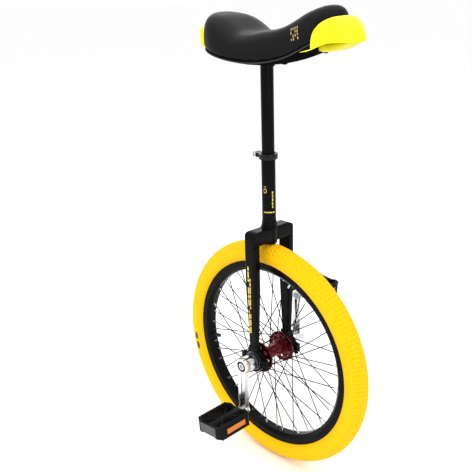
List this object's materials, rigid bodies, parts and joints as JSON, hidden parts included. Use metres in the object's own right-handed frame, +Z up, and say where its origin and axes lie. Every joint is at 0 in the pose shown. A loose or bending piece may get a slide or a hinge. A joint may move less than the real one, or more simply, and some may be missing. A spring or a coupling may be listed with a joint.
{
  "type": "unicycle",
  "caption": "Learner's unicycle: spoked wheel turned by direct cranks and pedals, forked frame, clamped telescoping seat post and padded saddle with bumpers.",
  "frame": {"origin": "where the tyre touches the ground, under the middle of the wheel", "axes": "+X the way the rider faces, +Y the rider's left along the wheel's axle, +Z up"},
  "size_m": [0.5038, 0.382, 0.9659],
  "materials": {
    "frame_paint": "gloss",
    "black_steel": "satin",
    "black_oxide": "satin",
    "clamp_black": "satin anodised",
    "bearing_steel": "ground",
    "seal_rubber": "matte",
    "bright_steel": "satin",
    "saddle_plastic": "matte",
    "foam": "open-cell foam",
    "saddle_skin": "smooth soft vinyl",
    "bumper_yellow": "satin",
    "tyre_yellow": "matte",
    "tube_rubber": "matte",
    "tape_cloth": "woven",
    "rim_black": "anodised",
    "cap_plastic": "gloss",
    "hub_red": "anodised",
    "axle_steel": "satin",
    "crank_silver": "polished",
    "cage_brass": "satin",
    "pedal_plastic": "textured",
    "reflector_amber": "prismatic"
  },
  "bodies": {
    "frame": {"seat_tube": "frame_paint", "crown_tube": "frame_paint", "fork_leg_right": "frame_paint", "fork_leg_left": "frame_paint", "bearing_holder_right": "frame_paint", "bearing_holder_left": "frame_paint", "bearing_cap_right": "frame_paint", "bearing_cap_left": "frame_paint", "bearing_cap_bolts": "black_steel", "bearing_outer_ring_right": "bearing_steel", "bearing_outer_ring_left": "bearing_steel", "bearing_seals": "seal_rubber"},
    "clamp": {"seat_clamp": "clamp_black", "clamp_bolt": "bright_steel", "clamp_nut": "bright_steel"},
    "seat": {"seat_post": "frame_paint", "post_plate": "frame_paint", "saddle_bolts": "black_oxide", "saddle_nuts": "black_oxide", "saddle_base": "saddle_plastic", "saddle_foam": "foam", "saddle_cover": "saddle_skin", "front_bumper": "bumper_yellow", "rear_bumper": "bumper_yellow", "bumper_screws": "black_oxide"},
    "wheel": {"tyre": "tyre_yellow", "inner_tube": "tube_rubber", "rim_tape": "tape_cloth", "rim": "rim_black", "spokes_right": "black_steel", "spokes_left": "black_steel", "spoke_nipples": "bright_steel", "valve_stem": "seal_rubber", "valve_cap": "cap_plastic", "hub_shell": "hub_red", "hub_axle": "axle_steel", "axle_spacers": "axle_steel", "bearing_inner_ring_right": "bearing_steel", "bearing_inner_ring_left": "bearing_steel", "crank_right": "crank_silver", "crank_left": "crank_silver", "crank_bolts": "bright_steel", "crank_bolt_rings": "black_steel", "pedal_axle_right": "axle_steel", "pedal_axle_left": "axle_steel", "pedal_nuts": "axle_steel"},
    "ball_train_right": {"bearing_balls_right": "bearing_steel", "bearing_cage_right": "cage_brass"},
    "ball_train_left": {"bearing_balls_left": "bearing_steel", "bearing_cage_left": "cage_brass"},
    "pedal_right": {"pedal_body_right": "pedal_plastic", "pedal_bushes_right": "cage_brass", "pedal_reflectors_right": "reflector_amber", "pedal_cap_right": "pedal_plastic"},
    "pedal_left": {"pedal_body_left": "pedal_plastic", "pedal_bushes_left": "cage_brass", "pedal_reflectors_left": "reflector_amber", "pedal_cap_left": "pedal_plastic"}
  },
  "joints": [
    {"name": "wheel_spin", "type": "hinge", "parent": "frame", "child": "wheel", "pos_m": [0, 0, 0.252], "axis": [0, 1, 0], "continuous": true},
    {"name": "balls_right_roll", "type": "hinge", "parent": "frame", "child": "ball_train_right", "pos_m": [0, -0.05, 0.252], "axis": [0, 1, 0], "continuous": true},
    {"name": "balls_left_roll", "type": "hinge", "parent": "frame", "child": "ball_train_left", "pos_m": [0, 0.05, 0.252], "axis": [0, 1, 0], "continuous": true},
    {"name": "pedal_right_spin", "type": "hinge", "parent": "wheel", "child": "pedal_right", "pos_m": [0, -0.146, 0.147], "axis": [0, 1, 0], "continuous": true},
    {"name": "pedal_left_spin", "type": "hinge", "parent": "wheel", "child": "pedal_left", "pos_m": [0, 0.146, 0.357], "axis": [0, 1, 0], "continuous": true},
    {"name": "seat_swivel", "type": "hinge", "parent": "frame", "child": "clamp", "pos_m": [0, 0, 0.68], "axis": [0, 0, 1], "continuous": true},
    {"name": "seat_height", "type": "slide", "parent": "clamp", "child": "seat", "axis": [0, 0, 1], "range_m": [-0.05, 0.06]}
  ],
  "couplings": [
    {"joint": "balls_right_roll", "follows": "wheel_spin", "ratio": 0.3976},
    {"joint": "balls_left_roll", "follows": "wheel_spin", "ratio": 0.3976}
  ]
}
